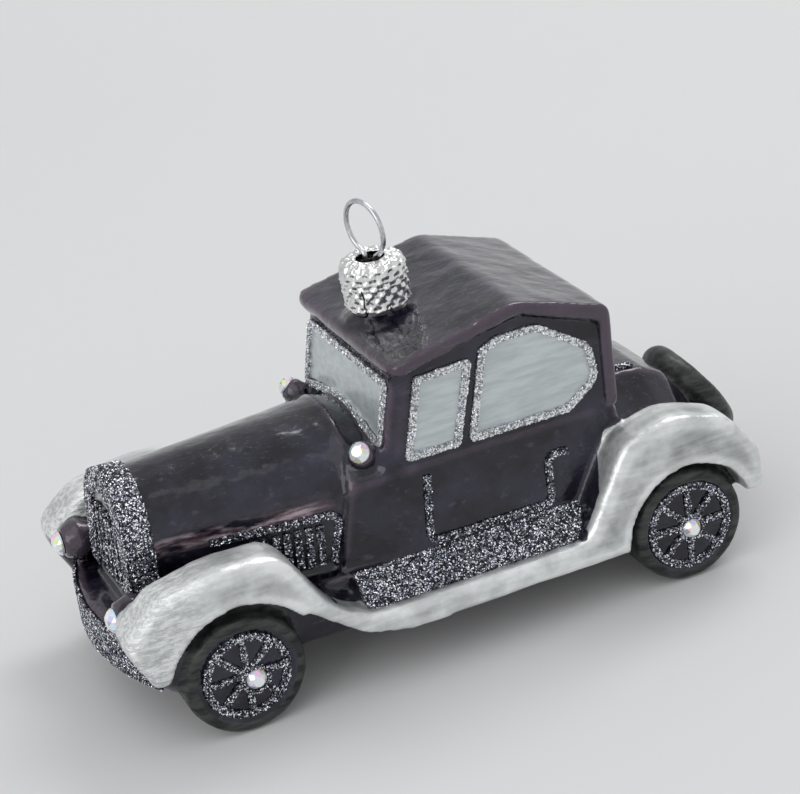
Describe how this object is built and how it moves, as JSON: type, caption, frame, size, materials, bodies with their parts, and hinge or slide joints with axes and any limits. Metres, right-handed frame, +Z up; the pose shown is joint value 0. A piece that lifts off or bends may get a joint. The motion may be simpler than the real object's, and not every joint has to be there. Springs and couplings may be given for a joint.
{
  "type": "blown glass coupe ornament",
  "caption": "Blown glass tree ornament in the form of a 1920s coupe, lacquered black with glitter and crystals, with a metal cap and a wire hanger.",
  "frame": {"origin": "on the floor under the middle of the ornament's length and width", "axes": "+X to the front of the car, +Y to its left side, +Z up"},
  "size_m": [0.138, 0.0592, 0.0837],
  "materials": {
    "lacquered_glass": "gloss",
    "cap_metal": "bright",
    "hanger_wire": "satin",
    "crystal": "faceted",
    "silver_glitter": "glitter",
    "charcoal_glitter": "glitter"
  },
  "bodies": {
    "glass": {"apron_glitter": "charcoal_glitter", "back_window_glitter": "silver_glitter", "cowl_crystal_left": "crystal", "cowl_crystal_right": "crystal", "deck_line_glitter_left": "charcoal_glitter", "deck_line_glitter_right": "charcoal_glitter", "door_line_glitter_left": "charcoal_glitter", "door_line_glitter_right": "charcoal_glitter", "front_hub_crystal_left": "crystal", "front_hub_crystal_right": "crystal", "front_wheel_glitter_left": "charcoal_glitter", "front_wheel_glitter_right": "charcoal_glitter", "front_window_glitter_left": "silver_glitter", "front_window_glitter_right": "silver_glitter", "glass_body": "lacquered_glass", "grille_bars_glitter": "charcoal_glitter", "grille_shell_glitter": "charcoal_glitter", "headlamp_crystal_left": "crystal", "headlamp_crystal_right": "crystal", "louvre_glitter_left": "charcoal_glitter", "louvre_glitter_right": "charcoal_glitter", "rear_hub_crystal_left": "crystal", "rear_hub_crystal_right": "crystal", "rear_wheel_glitter_left": "charcoal_glitter", "rear_wheel_glitter_right": "charcoal_glitter", "rear_window_glitter_left": "silver_glitter", "rear_window_glitter_right": "silver_glitter", "running_board_glitter_left": "charcoal_glitter", "running_board_glitter_right": "charcoal_glitter", "spare_wheel_crystal": "crystal", "spare_wheel_glitter": "charcoal_glitter", "windscreen_glitter": "silver_glitter"},
    "cap": {"cap": "cap_metal"},
    "hanger": {"hanger": "hanger_wire"}
  },
  "joints": [
    {"name": "cap_lift", "type": "slide", "parent": "glass", "child": "cap", "axis": [0.0523, 0, 0.9986], "range_m": [0, 0.014]},
    {"name": "hanger_turn", "type": "hinge", "parent": "cap", "child": "hanger", "pos_m": [0.0025, 0, 0.0615], "axis": [0.0523, 0, 0.9986], "continuous": true}
  ]
}
